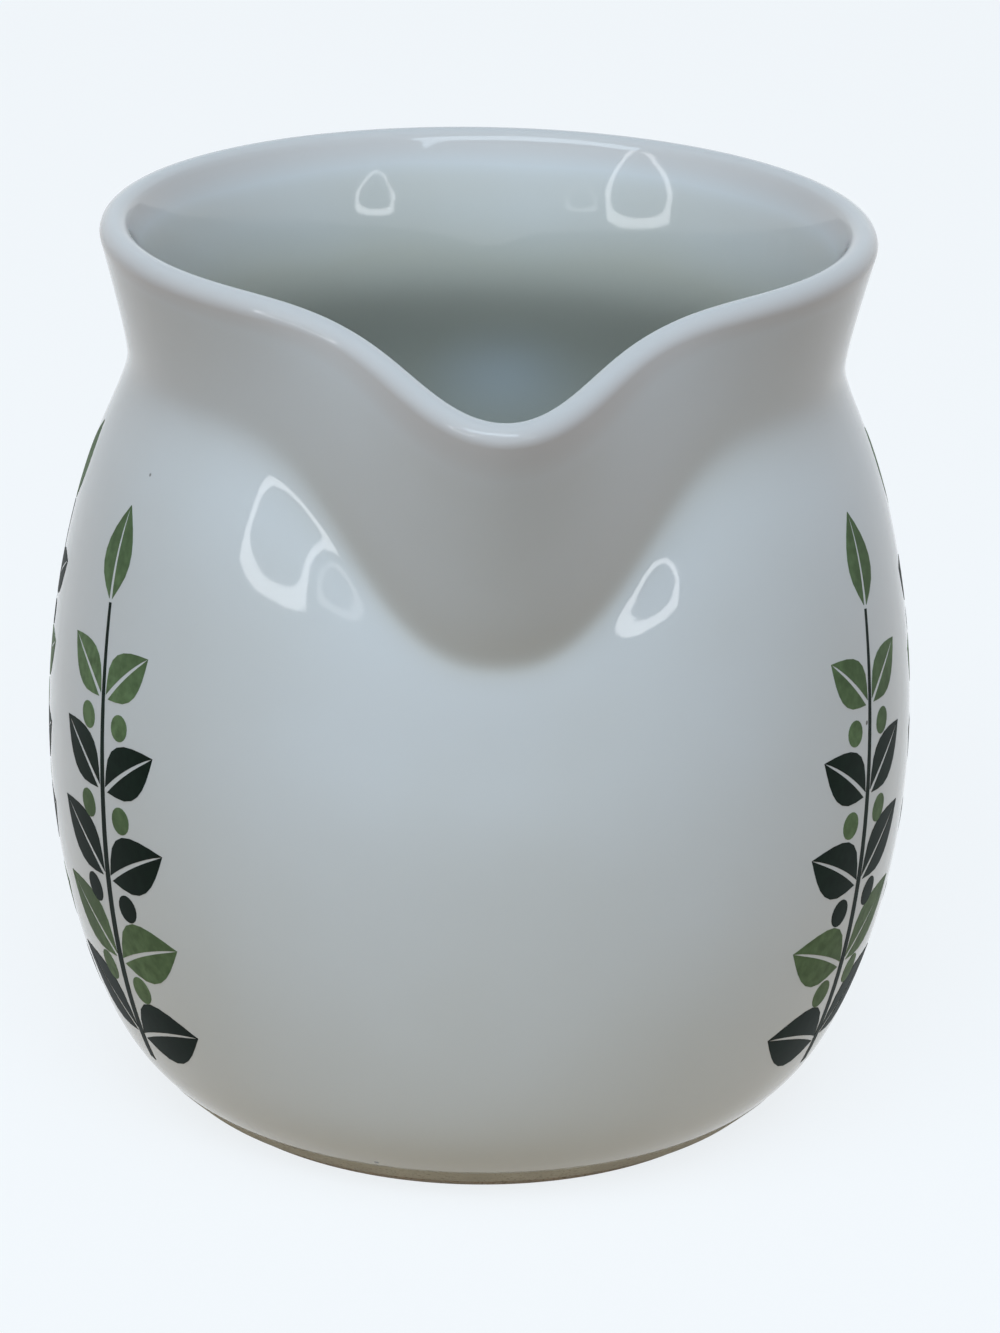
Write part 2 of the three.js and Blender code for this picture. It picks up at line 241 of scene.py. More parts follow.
class GlazeFlowAndShade(bpy.types.PropertyGroup):
    """Glaze that ran thick or thin, and painted shade and light, as shares of the full tone and as reaches.
    """

    # Partly pooled glaze, partly painted shade where the wall turns under towards the foot
    foot_pool_and_shade: fraction("Foot pool", 0.8, "How much the glaze pooled at the foot")
    foot_reach: length("Foot reach", 7.0, "How far up the wall that pool reaches")
    # Partly pooled glaze, partly painted shade in the crease under the spout's overhang
    crease_pool_and_shade: fraction("Crease pool", 0.5, "How much the glaze pooled in the crease under the spout")
    crease_reach: length("Crease reach", 5.0, "How far that pool reaches to both sides of the crease")
    outer_edge: length("Outer edge", 1.5, "How far down the outside the rim's thin glaze reaches")
    inner_edge: length("Inner edge", 3.0, "How far down the inside the rim's thin glaze reaches")
    # Painted shade inside the bowl, faint high up and full in the deep
    inner_shade: fraction("Inner pool", 0.35, "How much the glaze pooled high up inside")
    inner_shade_start: length("Inner start", 4.0, "Depth below the rim over which that pool starts")
    deep_shade_start: length("Deep start", 9.0, "Depth below the rim from which that pool grows")
    deep_shade_full: length("Deep full", 21.0, "Depth below the rim at which that pool is full")
    # Painted light: a paler patch on the inner back wall, kept free of the painted shade
    light_spot_azimuth: angle("Spot azimuth", 175.5, "Direction of a spot of even glaze inside, 0 at the spout")
    light_spot_spread: angle("Spot spread", 10.5, "How far that spot reaches to both sides")
    light_spot_depth: length("Spot depth", 36.5, "Depth of that spot below the rim")
    light_spot_reach: length("Spot reach", 8.0, "How far that spot reaches up and down")
    # Painted shade over the bowl's floor, full at its edge and fainter in its middle
    floor_shade_middle: fraction("Floor pool", 0.3, "How much the glaze pooled in the middle of the floor")
    root_pool: fraction("Root pool", 0.7, "How much the glaze pooled where the handle meets the body")
    strap_edge: fraction("Strap edge", 0.5, "How thin the glaze drew along the handle's edges")


class PitcherColours(bpy.types.PropertyGroup):
    """Colours of the finishes and of the stage."""

    glaze: colour("Glaze", "#CBD3D6", "White glaze with a cool cast")
    # The pooled tone also paints shade: deep inside the bowl, and in part at the foot and under the spout
    glaze_pooled_and_shaded: colour("Pooled glaze", "#BCBEB5", "Glaze where it ran together and lies thick")
    glaze_thin: colour("Thin glaze", "#C6C8C8", "Glaze where it drew back from an edge")
    speck: colour("Speck", "#4A4A42", "Iron specks in the clay that show through the glaze")
    bare_clay: colour("Bare clay", "#C4C6BF", "Fired clay, wiped free of glaze")
    clay_grit: colour("Clay grit", "#8F8D84", "Coarse grains and dirt in the bare clay")
    print_dark: colour("Dark print", "#101D16", "Nearly black green of the print")
    print_green: colour("Green print", "#5B7250", "Leaf green of the print")
    background: colour("Background", "#F4F8FB", "Floor and background as the camera sees them")
    table: colour("Table", "#AF9E82", "Floor near the pitcher, as it throws light back")
    room: colour("Room", "#1E1E1E", "Floor further away, as it throws light back")
    daylight: colour("Daylight", "#DEF0FF", "Main light of the dome, and the window")
    warm_light: colour("Warm light", "#FFC08A", "Dim light near the horizon")
    lamp_light: colour("Lamp light", "#F6F8FA", "Light of the ring lamps")


class StageSettings(bpy.types.PropertyGroup):
    """Places and strengths of the light, and the camera."""

    floor_half: length("Floor half", 6000.0, "Half the side of the square floor")
    floor_glow: fraction("Floor glow", 0.85, "Share of the floor's own paleness over its shading")
    floor_paleness: number("Floor paleness", 1.03, "Strength of that paleness, to make up for the shading")
    table_radius: length("Table radius", 180.0, "How far from the axis the floor throws light back")
    table_edge: length("Table edge", 20.0, "Distance over which that light fades out")
    key_azimuth: angle("Key azimuth", 1.0, "Direction of the main light, 0 in front of the spout")
    key_elevation: angle("Key elevation", 54.0, "Height of the main light above the horizon")
    key_spread: angle("Key spread", 40.0, "Angle from the main light's middle to its faded edge")
    key_level: number("Key level", 3.05, "Strength in the middle of the main light")
    fill_azimuth: angle("Fill azimuth", 172.0, "Direction of the weaker light behind the pitcher")
    fill_elevation: angle("Fill elevation", 16.0, "Height of the weaker light above the horizon")
    fill_spread: angle("Fill spread", 45.0, "Angle from the weaker light's middle to its faded edge")
    fill_level: number("Fill level", 1.6, "Strength in the middle of the weaker light")
    low_level: number("Low level", 0.7, "Strength of the light near the horizon")
    low_elevation: angle("Low elevation", 15.0, "Height up to which the light near the horizon reaches")
    low_softness: fraction("Low softness", 0.3, "Share of that height over which it fades to both sides")
    camera_distance: length("Camera distance", 550.0, "Level distance from the axis to the camera")
    camera_height: length("Camera height", 264.0, "Height of the camera above the floor")
    camera_azimuth: angle("Camera azimuth", -2.05, "Direction of the camera, 0 in front of the spout")
    camera_pitch: angle("Camera pitch", 20.163, "How far the camera tips down")
    camera_yaw: angle("Camera yaw", 0.298, "How far the camera turns off the axis")
    camera_roll: angle("Camera roll", 1.255, "How far the camera leans to the side")
    camera_sensor: number("Sensor", 36.0, "Width of the camera's sensor in millimetres", "CAMERA")
    camera_lens: number("Lens", 108.7, "Focal length of the camera in millimetres", "CAMERA")


def spline_weights(knots, shares):
    """Weights of a natural cubic spline: the last axis says how much each control point counts at a share.

    The second derivatives at the knots solve a tridiagonal system, with none at the two ends. Between two
    knots the curve is their straight line plus cubic terms in those second derivatives.
    """
    count = len(knots)
    gaps = np.diff(knots)
    inner = np.arange(1, count - 1)
    system = np.eye(count)
    loads = np.zeros((count, count))
    system[inner, inner - 1] = gaps[:-1]
    system[inner, inner] = 2 * (gaps[:-1] + gaps[1:])
    system[inner, inner + 1] = gaps[1:]
    loads[inner, inner - 1] = 6 / gaps[:-1]
    loads[inner, inner] = -6 / gaps[:-1] - 6 / gaps[1:]
    loads[inner, inner + 1] = 6 / gaps[1:]
    bends = np.linalg.solve(system, loads)
    span = np.clip(np.searchsorted(knots, shares, side="right") - 1, 0, count - 2)
    up = ((shares - knots[span]) / gaps[span])[..., None]
    down = 1 - up
    scale = (gaps[span] ** 2 / 6)[..., None]
    points = np.eye(count)
    straight = down * points[span] + up * points[span + 1]
    return straight + scale * ((down ** 3 - down) * bends[span] + (up ** 3 - up) * bends[span + 1])


def chord_knots(points):
    """Shares of a polyline's length at each of its points, from 0 to 1, and that length."""
    steps = np.linalg.norm(np.diff(points, axis=0), axis=-1)
    total = steps.sum()
    return np.concatenate([[0.0], np.cumsum(steps)]) / total, total


def unit(vectors):
    """Vectors scaled to length 1."""
    return vectors / np.linalg.norm(vectors, axis=-1, keepdims=True)


def blend(low, high, share):
    """The value a share of the way from low to high."""
    return low + (high - low) * share


def falloff(distance, reach):
    """A soft hill over a distance: e to the power of minus (distance / reach) squared."""
    return np.exp(-(distance / reach) ** 2)


def soft_step(value, low, high):
    """A soft step from 0 below low to 1 above high: 3 x squared minus 2 x cubed, x the share of the way."""
    share = np.clip((value - low) / (high - low), 0, 1)
    return share ** 2 * (3 - 2 * share)


def wrapped(turn):
    """A turn brought to within half a turn of 0, either way."""
    return (turn + math.pi) % (2 * math.pi) - math.pi


def ring(radius, azimuth, height):
    """Points round the body's axis from their distance to it, their azimuth and their height."""
    radius, azimuth, height = np.broadcast_arrays(radius, azimuth, height)
    return np.stack([radius * np.sin(azimuth), AXIS_Y - radius * np.cos(azimuth), height], -1)


class Wall:
    """The body's outer wall by azimuth, 0 at the spout, and share of the way up the wall, from 0 to 1."""

    def __init__(self, sizes):
        """Works out the plain profile and the profile at the middle of the spout.

        In the spout the levels from belly to neck slide down the plain body until the neck becomes the
        crease, and the levels above lie on a straight line from the crease to the lip.
        """
        self.sizes = sizes
        inset, rise, self.share = np.array([level[1:] for level in PROFILE]).T
        self.plain = np.stack([sizes.belly_radius - inset * MM, np.cumsum(rise) * MM], -1)
        self.knots, self.meridian = chord_knots(self.plain)
        self.fine_shares = np.linspace(0, 1, PROFILE_SAMPLES)
        self.fine = spline_weights(self.knots, self.fine_shares) @ self.plain
        belly, neck, rim = (self.plain[level] for level in (BELLY, NECK, RIM))
        crease_height = neck[1] - sizes.crease_drop
        crease = np.array([self.radius_at(crease_height) + sizes.crease_proud, crease_height])
        lip = rim + [sizes.lip_reach, -sizes.lip_drop]
        slide = (crease_height - belly[1]) / (neck[1] - belly[1])
        slid = blend(belly[1], self.plain[BELLY:NECK, 1], slide)
        self.spout = self.plain.copy()
        self.spout[BELLY:NECK] = np.stack([self.radius_at(slid), slid], -1)
        self.spout[NECK:] = blend(crease, lip, self.share[NECK:, None])
        self.crease_share = self.knots[NECK]

    def radius_at(self, height):
        """Radius of the plain body at a height."""
        return np.interp(height, self.fine[:, 1], self.fine[:, 0])

    def share_at(self, height):
        """Share of the plain wall at a height."""
        return np.interp(height, self.fine[:, 1], self.fine_shares)

    def bell(self, turn, far_angle):
        """A bell round the spout for each level: 2 to the power of minus (turn / half angle) ^ squareness.

        Half angle and squareness go from the crease's at the neck to the lip's at the rim.
        """
        sizes = self.sizes
        half = blend(sizes.crease_half_angle, far_angle, self.share)
        squareness = blend(sizes.crease_squareness, sizes.lip_squareness, self.share)
        return 2.0 ** -((turn / half) ** squareness)

    def points(self, azimuth, share):
        """Points of the wall: the plain profile, drawn towards the spout's by two bells round the spout.

        One bell sets the reach and one the dip. The rim leans by the cosine of the azimuth, and a natural
        spline runs through the levels.
        """
        azimuth, share = np.broadcast_arrays(np.asarray(azimuth, float), np.asarray(share, float))
        turn = np.abs(wrapped(azimuth))[..., None]
        out = self.bell(turn, self.sizes.lip_half_angle)
        down = self.bell(turn, self.sizes.drop_half_angle)
        lean = self.share * self.sizes.rim_lean * (1 + np.cos(turn)) / 2
        weights = spline_weights(self.knots, share)
        radius = (weights * blend(self.plain[:, 0], self.spout[:, 0], out)).sum(-1)
        height = (weights * (blend(self.plain[:, 1], self.spout[:, 1], down) - lean)).sum(-1)
        return ring(radius, azimuth, height)

    def frame(self, azimuth, share):
        """Points of the wall with their outward normals and their directions up the wall."""
        above = self.points(azimuth, np.minimum(share + NUDGE, 1))
        below = self.points(azimuth, np.maximum(share - NUDGE, 0))
        along = self.points(azimuth + NUDGE, share) - self.points(azimuth - NUDGE, share)
        up = unit(above - below)
        return self.points(azimuth, share), unit(np.cross(along, up)), up


def quadratic(first, corner, last, steps):
    """Points inside a quadratic curve between two points, pulled towards a corner, on a new second axis."""
    way = ((np.arange(steps) + 1) / (steps + 1))[None, :, None]
    first, corner, last = (point[:, None] for point in (first, corner, last))
    return (1 - way) ** 2 * first + 2 * way * (1 - way) * corner + way ** 2 * last


def band_faces(columns, rows, steps):
    """Quads of a grid that closes round its columns, over some steps up its rows, which may close too.

    A point's number is column * rows + row.
    """
    column, row = np.meshgrid(np.arange(columns), np.arange(steps), indexing="ij")
    after, above = (column + 1) % columns, (row + 1) % rows
    corners = ((column, row), (after, row), (after, above), (column, above))
    return np.stack([along * rows + up for along, up in corners], -1).reshape(-1, 4).tolist()


def tube_faces(columns, rows):
    """Faces of a grid that closes round its columns, with a pole before its first row and after its last.

    The numbers of the two poles follow those of the grid's points.
    """
    column = np.arange(columns)
    first, last = column * rows, column * rows + rows - 1
    after_first, after_last = np.roll(first, -1), np.roll(last, -1)
    pole = np.full(columns, columns * rows)
    start = np.stack([after_first, first, pole], -1)
    end = np.stack([last, after_last, pole + 1], -1)
    return band_faces(columns, rows, rows - 1) + start.tolist() + end.tolist()


def make_piece(name, vertices, faces, material, stands_for=()):
    """A smooth mesh object in the frame, with sharp edges where faces turn hard, riding on the body."""
    mesh = bpy.data.meshes.new(name)
    mesh.from_pydata(vertices.reshape(-1, 3).tolist(), [], faces)
    mesh.polygons.foreach_set("use_smooth", np.ones(len(mesh.polygons), bool))
    mesh.set_sharp_from_angle(angle=SHARP)
    mesh.materials.append(material)
    piece = bpy.data.objects.new(name, mesh)
    bpy.context.scene.collection.objects.link(piece)
    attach(piece, BODY)
    if stands_for:
        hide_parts(*stands_for)
    return piece


def write_glaze_and_shade(piece, grid_values, pole_values):
    """Keeps per vertex, poles last, how thick the glaze lies, painted shade as thick: -1 thin, 0 even, 1
    thick.
    """
    layer = piece.data.attributes.new("glaze_thickness_and_shade", "FLOAT", "POINT")
    values = np.concatenate([grid_values.ravel(), pole_values])
    layer.data.foreach_set("value", values.astype(np.float32))


def add(tree, kind, inputs=None, **settings):
    """Adds a node of a kind, with settings, and fills its inputs with values or links.

    A node among the inputs links by its first output in use, and a socket links as it is.
    """
    node = tree.nodes.new("ShaderNode" + kind)
    for name, value in settings.items():
        setattr(node, name, value)
    for name, value in (inputs or {}).items():
        if isinstance(value, bpy.types.Node):
            value = next(socket for socket in value.outputs if socket.enabled)
        if isinstance(value, bpy.types.NodeSocket):
            tree.links.new(value, node.inputs[name])
        else:
            node.inputs[name].default_value = value
    return node


def opaque(rgb):
    """A colour with full alpha, as node sockets take it."""
    return (*rgb, 1.0)


def empty_tree(owner):
    """The node tree of a material, a world or a lamp, switched on and with nothing in it."""
    owner.use_nodes = True
    owner.node_tree.nodes.clear()
    return owner.node_tree


def white_glaze(colours):
    """White feldspar glaze over slip-cast stoneware, fired: glass-smooth and glossy. Pieces share it.

    The eye sees a clear, slightly rippled gloss, a cool white that clouds a little from place to place, a
    greyer and duller tone where the glaze ran thick or drew thin, painted shade deep inside the bowl and in
    part at the foot and under the spout, a painted patch of light inside at the back, and a few iron
    specks.
    """
    name = "white_feldspar_glaze_and_painted_shade"
    if name in bpy.data.materials:
        return bpy.data.materials[name]
    material = bpy.data.materials.new(name)
    tree = empty_tree(material)
    place = add(tree, "TexCoord").outputs["Object"]
    cloud_size = 34 * MM
    ripple_size = 16 * MM
    peel_size = 2.2 * MM
    speck_spacing = 11 * MM
    speck_size = 0.28 * MM / speck_spacing
    speck_blur = 1.6 * speck_size
    speckless_share = 0.6
    cloud = add(tree, "TexNoise", {"Vector": place, "Scale": 1 / cloud_size, "Detail": 2.0})
    cloudy = add(tree, "MapRange", {"Value": cloud, "From Min": 0.35, "From Max": 0.7, "To Max": 0.22})
    # The thickness attribute also carries painted shade inside and a painted patch of light
    thickness = add(tree, "Attribute", attribute_name="glaze_thickness_and_shade").outputs["Fac"]
    darkened = add(tree, "Math", {0: thickness, 1: cloudy}, operation="ADD", use_clamp=True)
    thin = add(tree, "Math", {0: thickness, 1: -1.0}, operation="MULTIPLY", use_clamp=True)
    body = add(tree, "Mix", {"Factor": darkened, "A": opaque(colours.glaze),
                             "B": opaque(colours.glaze_pooled_and_shaded)}, data_type="RGBA")
    edged = add(tree, "Mix", {"Factor": thin, "A": body, "B": opaque(colours.glaze_thin)}, data_type="RGBA")
    cells = add(tree, "TexVoronoi", {"Vector": place, "Scale": 1 / speck_spacing})
    near = add(tree, "MapRange", {"Value": cells, "From Min": speck_size, "From Max": speck_blur,
                                  "To Min": 1.0, "To Max": 0.0})
    chance = add(tree, "SeparateColor", {"Color": cells.outputs["Color"]}).outputs["Red"]
    some = add(tree, "Math", {0: chance, 1: speckless_share}, operation="GREATER_THAN")
    speck = add(tree, "Math", {0: near, 1: some}, operation="MULTIPLY")
    specked = add(tree, "Mix", {"Factor": speck, "A": edged, "B": opaque(colours.speck)}, data_type="RGBA")
    ripple = add(tree, "TexNoise", {"Vector": place, "Scale": 1 / ripple_size, "Detail": 1.0})
    peel = add(tree, "TexNoise", {"Vector": place, "Scale": 1 / peel_size, "Detail": 2.0})
    wavy = add(tree, "Bump", {"Height": ripple, "Strength": 0.5, "Distance": 0.3 * MM})
    bumpy = add(tree, "Bump", {"Height": peel, "Strength": 0.12, "Distance": 0.05 * MM, "Normal": wavy})
    gloss = add(tree, "MapRange", {"Value": cloud, "From Min": 0.3, "From Max": 0.7,
                                   "To Min": 0.03, "To Max": 0.06})
    shader = add(tree, "BsdfPrincipled", {"Base Color": specked, "IOR": 1.52, "Roughness": gloss,
                                          "Normal": bumpy})
    add(tree, "OutputMaterial", {"Surface": shader})
    return material


def bare_clay(colours):
    """Fired stoneware clay, wiped bare with a sponge: dry, dull and gritty.

    The eye sees a matt warm grey with darker grains and stains, and a rough sandy skin.
    """
    material = bpy.data.materials.new("bare_stoneware_clay")
    tree = empty_tree(material)
    place = add(tree, "TexCoord").outputs["Object"]
    grain_size = 0.5 * MM
    stain_size = 9 * MM
    grain = add(tree, "TexNoise", {"Vector": place, "Scale": 1 / grain_size, "Detail": 3.0})
    stain = add(tree, "TexNoise", {"Vector": place, "Scale": 1 / stain_size, "Detail": 4.0})
    gritty = add(tree, "MapRange", {"Value": grain, "From Min": 0.52, "From Max": 0.68, "To Max": 0.7})
    dirty = add(tree, "MapRange", {"Value": stain, "From Min": 0.45, "From Max": 0.75, "To Max": 0.5})
    both = add(tree, "Math", {0: gritty, 1: dirty}, operation="MAXIMUM")
    mixed = add(tree, "Mix", {"Factor": both, "A": opaque(colours.bare_clay),
                              "B": opaque(colours.clay_grit)}, data_type="RGBA")
    bumpy = add(tree, "Bump", {"Height": grain, "Strength": 0.6, "Distance": 0.12 * MM})
    shader = add(tree, "BsdfPrincipled", {"Base Color": mixed, "IOR": 1.45, "Roughness": 0.88,
                                          "Normal": bumpy})
    add(tree, "OutputMaterial", {"Surface": shader})
    return material


def onglaze_enamel(name, rgb):
    """Ceramic enamel, printed on a transfer and fired on to the glaze: a dense satin film.

    The eye sees an even deep colour with a faint mottle of the ink, much duller than the glaze round it.
    """
    material = bpy.data.materials.new(name)
    tree = empty_tree(material)
    place = add(tree, "TexCoord").outputs["Object"]
    mottle_size = 1.6 * MM
    cloud_size = 20 * MM
    mottle = add(tree, "TexNoise", {"Vector": place, "Scale": 1 / mottle_size, "Detail": 3.0})
    cloud = add(tree, "TexNoise", {"Vector": place, "Scale": 1 / cloud_size, "Detail": 1.0})
    dense = add(tree, "Math", {0: mottle, 1: cloud}, operation="MULTIPLY")
    light = add(tree, "MapRange", {"Value": dense, "From Min": 0.15, "From Max": 0.4,
                                   "To Min": 0.8, "To Max": 1.35})
    ink = add(tree, "VectorMath", {0: rgb, "Scale": light}, operation="SCALE")
    shader = add(tree, "BsdfPrincipled", {"Base Color": ink, "Roughness": 0.45, "Specular IOR Level": 0.03})
    add(tree, "OutputMaterial", {"Surface": shader})
    return material


class PITCHER_OT_body(bpy.types.Operator):
    """Build the slip-cast body: outer wall, round rim, inner wall, bowl floor and underside"""

    bl_idname = "pitcher.body"
    bl_label = "Body"

    def execute(self, context):
        """Joins the stretches of the body into one closed grid.

        Every column runs from the middle of the underside, round the edge of the base, up the outer wall,
        over the rim, down the inner wall, round the fillet, and over the floor to its middle.
        """
        sizes = context.scene.pitcher_body
        wall = Wall(sizes)
        turn = np.linspace(-math.pi, math.pi, COLUMNS, endpoint=False)
        azimuth = (turn - COLUMN_CROWDING * np.sin(turn))[:, None]
        inward = np.linspace(1, 0, DISC_ROWS, endpoint=False)
        base_height = wall.plain[0, 1]
        floor_height = base_height + sizes.floor
        outer_shares = np.linspace(sizes.base_round / wall.meridian, 1, OUTER_ROWS)[None]
        inner_shares = np.linspace(1, self.lowest_share(wall, floor_height), INNER_ROWS)[None]
        stretches = (*self.outside(wall, azimuth, inward, outer_shares),
                     *self.inside(wall, azimuth, inward, inner_shares, floor_height))
        grid = np.concatenate(stretches, axis=1)
        poles = np.array([[0, AXIS_Y, base_height + sizes.base_dome], [0, AXIS_Y, floor_height]])
        vertices = np.concatenate([grid.reshape(-1, 3), poles])
        faces = tube_faces(COLUMNS, grid.shape[1])
        glaze = white_glaze(context.scene.pitcher_colours)
        piece = make_piece("glazed_body", vertices, faces, glaze, ["body"])

        flow_and_shade = context.scene.pitcher_flow
        outer_glaze_and_shade_lie = self.outer_glaze_and_shade(flow_and_shade, wall, azimuth, outer_shares)
        inner_shade_lie = self.inner_painted_shade(flow_and_shade, wall, azimuth, inner_shares)
        floor_shade_lie = blend(flow_and_shade.floor_shade_middle, 1, inward ** STEEP)
        # The fillet and the bowl's floor carry the painted shade of the deep inside, fainter in the floor's
        # middle
        values = (0, 0, outer_glaze_and_shade_lie, -1, inner_shade_lie, 1, floor_shade_lie)
        lie = [np.broadcast_to(value, stretch.shape[:2]) for value, stretch in zip(values, stretches)]
        write_glaze_and_shade(piece, np.concatenate(lie, axis=1), [0, flow_and_shade.floor_shade_middle])
        return {"FINISHED"}

    @staticmethod
    def outside(wall, azimuth, inward, shares):
        """Stretches over the underside, a shallow dome, round its edge, up the outer wall and over the rim.

        The rim is a half circle, which stops short where it meets the slope at which the inner wall swells.
        """
        sizes = wall.sizes
        base_radius, base_height = wall.plain[0]
        outer, normal, up = wall.frame(azimuth, shares)
        flat = base_radius - sizes.base_round
        dome = sizes.base_dome * (1 - inward ** 2)
        under = ring(flat * inward[::-1], azimuth, base_height + dome[::-1])
        corner = ring(base_radius, azimuth, base_height)[:, 0]
        edge = quadratic(under[:, -1], corner, outer[:, 0], CORNER_ROWS)
        inner_slope = 2 * sizes.collar_swell / sizes.swell_depth
        half_turn = (np.arange(RIM_ROWS) + 1) * (math.pi - inner_slope) / (RIM_ROWS + 1)
        rim = (outer[:, -1:]
               + normal[:, -1:] * ((np.cos(half_turn) - 1) * sizes.wall / 2)[None, :, None]
               + up[:, -1:] * (np.sin(half_turn) * sizes.wall / 2)[None, :, None])
        return under, edge, outer, rim

    @staticmethod
    def lowest_share(wall, floor_height):
        """Share of the wall at which its inside, at the back, is half a fillet above the floor."""
        back, normal, _ = wall.frame(np.array(math.pi), wall.fine_shares)
        height = (back - normal * wall.sizes.wall)[:, 2]
        return np.interp(floor_height + wall.sizes.floor_fillet / 2, height, wall.fine_shares)

    @staticmethod
    def inside(wall, azimuth, inward, shares, floor_height):
        """Stretches down the inner wall, round the fillet and over the floor.

        The inner wall lies inside the outer one along its normals, by the wall and the collar's swell. The
        swell grows as a parabola down to its depth, and fades by a soft step below that.
        """
        sizes = wall.sizes
        point, normal, up = wall.frame(azimuth, shares)
        depth = (1 - shares) * wall.meridian
        swell = 1 - np.clip(1 - depth / sizes.swell_depth, 0, 1) ** 2
        fade = soft_step(depth, sizes.swell_depth, sizes.swell_depth + sizes.swell_fade)
        thickness = sizes.wall + sizes.collar_swell * swell * (1 - fade)
        inner = point - normal * thickness[..., None]
        last, slope = inner[:, -1], up[:, -1]
        meet = last - slope * ((last[:, 2:] - floor_height) / slope[:, 2:])
        meet_radius = np.hypot(meet[:, 0], meet[:, 1] - AXIS_Y)[:, None]
        disc = ring((meet_radius - sizes.floor_fillet) * inward, azimuth, floor_height)
        fillet = quadratic(last, meet, disc[:, 0], CORNER_ROWS)
        return inner, fillet, disc

    @staticmethod
    def outer_glaze_and_shade(flow_and_shade, wall, azimuth, shares):
        """Thickness of the glaze outside: thick at the foot and in the crease, with painted shade in both,
        and thin at the rim.
        """
        above_foot = wall.points(azimuth, shares)[..., 2] - wall.plain[0, 1]
        from_crease = (shares - wall.crease_share) * wall.meridian
        beside_crease = falloff(azimuth, 2 * wall.sizes.crease_half_angle)
        return (flow_and_shade.foot_pool_and_shade * falloff(above_foot, flow_and_shade.foot_reach)
                + flow_and_shade.crease_pool_and_shade * falloff(from_crease, flow_and_shade.crease_reach) * beside_crease
                - falloff((1 - shares) * wall.meridian, flow_and_shade.outer_edge))

    @staticmethod
    def inner_painted_shade(flow_and_shade, wall, azimuth, shares):
        """Painted shade inside, darker further down but for one spot of painted light, and thin glaze at
        the rim.
        """
        depth = (1 - shares) * wall.meridian
        hollow = blend(flow_and_shade.inner_shade, 1, soft_step(depth, flow_and_shade.deep_shade_start, flow_and_shade.deep_shade_full))
        beside_light_spot = falloff(wrapped(azimuth - flow_and_shade.light_spot_azimuth), flow_and_shade.light_spot_spread)
        # The spot, kept free of the painted shade, is a painted patch of light
        spot = beside_light_spot * falloff(depth - flow_and_shade.light_spot_depth, flow_and_shade.light_spot_reach)
        darkened = hollow * (1 - falloff(depth, flow_and_shade.inner_shade_start)) * (1 - spot)
        return darkened - falloff(depth, flow_and_shade.inner_edge)


class PITCHER_OT_foot(bpy.types.Operator):
    """Build the bare clay ring that the pitcher stands on, and the wiped band above it"""

    bl_idname = "pitcher.foot"
    bl_label = "Foot ring"

    def execute(self, context):
        """Carries an outline round the axis.

        The outline runs over the ring's foot with two quarter circles, out along the base, up the wall as a
        thin skin to the glaze line, and back down inside the wall.
        """
        sizes = context.scene.pitcher_body
        wall = Wall(sizes)
        inside = FOOT_RADIUS - sizes.foot_width
        quarter = np.linspace(-math.pi / 2, 0, FOOT_ROUND_POINTS)
        arc = np.stack([np.cos(quarter), np.sin(quarter)], -1) * sizes.foot_round
        outer_edge = arc + [FOOT_RADIUS - sizes.foot_round, sizes.foot_round]
        inner_edge = (arc * [-1, 1] + [inside + sizes.foot_round, sizes.foot_round])[::-1]
        height = np.linspace(FOOT_HEIGHT, sizes.glaze_line, SKIN_ROWS)
        radius = wall.radius_at(height)
        skin = np.stack([radius + sizes.wiped_skin, height], -1)
        lining = np.stack([radius - sizes.wiped_lining, height + sizes.wiped_lining], -1)[::-1]
        under = FOOT_HEIGHT - sizes.wiped_skin
        base = [[FOOT_RADIUS, under], [radius[0] - sizes.base_round, under]]
        back = [[inside, FOOT_HEIGHT + sizes.wiped_lining]]
        outline = np.concatenate([inner_edge, outer_edge, base, skin, lining, back])
        azimuth = np.linspace(-math.pi, math.pi, FOOT_COLUMNS, endpoint=False)[:, None]
        grid = ring(outline[None, :, 0], azimuth, outline[None, :, 1])
        faces = band_faces(FOOT_COLUMNS, len(outline), len(outline))
        clay = bare_clay(context.scene.pitcher_colours)
        make_piece("bare_foot_ring", grid, faces, clay, ["foot_ring"])
        return {"FINISHED"}


